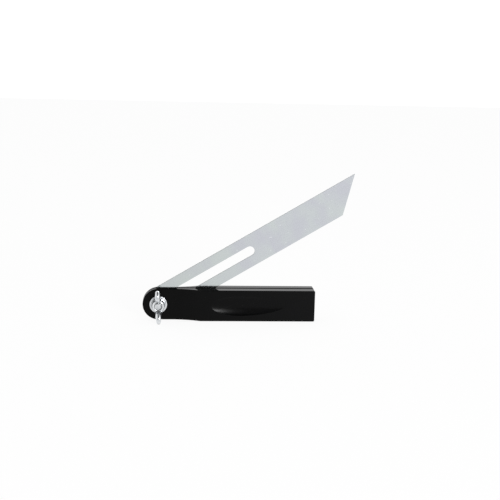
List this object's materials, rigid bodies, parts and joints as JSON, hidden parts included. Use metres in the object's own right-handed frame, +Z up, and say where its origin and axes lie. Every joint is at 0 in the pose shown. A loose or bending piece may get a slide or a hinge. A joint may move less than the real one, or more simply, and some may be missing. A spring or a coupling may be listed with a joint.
{
  "type": "sliding bevel",
  "caption": "Sliding bevel: a slotted steel blade that swings and slides in a forked black plastic handle and is locked by a wing nut on its pivot bolt.",
  "frame": {"origin": "middle of the bottom of the tool's bounding box, with the tool standing on its spine as pictured", "axes": "+X from the pivot end to the butt, along the handle; +Z up from the spine to the open side of the handle; -Y is the front, where the wing nut is"},
  "size_m": [0.175, 0.03, 0.1254],
  "materials": {
    "handle_plastic": "injection moulded, satin to gloss, black",
    "blade_steel": "rolled strip, finely ground, bare",
    "bolt_plating": "bright zinc plated steel",
    "washer_plating": "bright zinc plated steel",
    "nut_plating": "bright plated, tumbled casting"
  },
  "bodies": {
    "handle": {"handle": "handle_plastic"},
    "pivot_bolt": {"pivot_bolt": "bolt_plating"},
    "blade": {"blade": "blade_steel"},
    "washer": {"washer": "washer_plating"},
    "wing_nut": {"wing_nut": "nut_plating"}
  },
  "joints": [
    {"name": "blade_swing", "type": "hinge", "parent": "handle", "child": "pivot_bolt", "pos_m": [-0.07432, 0.00555, 0.01415], "axis": [0, -1, 0], "range_deg": [-26, 112]},
    {"name": "blade_slide", "type": "slide", "parent": "pivot_bolt", "child": "blade", "axis": [-0.859, 0, -0.512], "range_m": [0, 0.0875]},
    {"name": "nut_lift", "type": "slide", "parent": "pivot_bolt", "child": "washer", "axis": [0, -1, 0], "range_m": [0, 0.0015]},
    {"name": "nut_turn", "type": "hinge", "parent": "washer", "child": "wing_nut", "pos_m": [-0.07432, -0.003, 0.01415], "axis": [0, -1, 0], "range_deg": [0, 540]}
  ],
  "couplings": [
    {"joint": "nut_turn", "follows": "nut_lift", "rad_per_m": 6283.2}
  ]
}
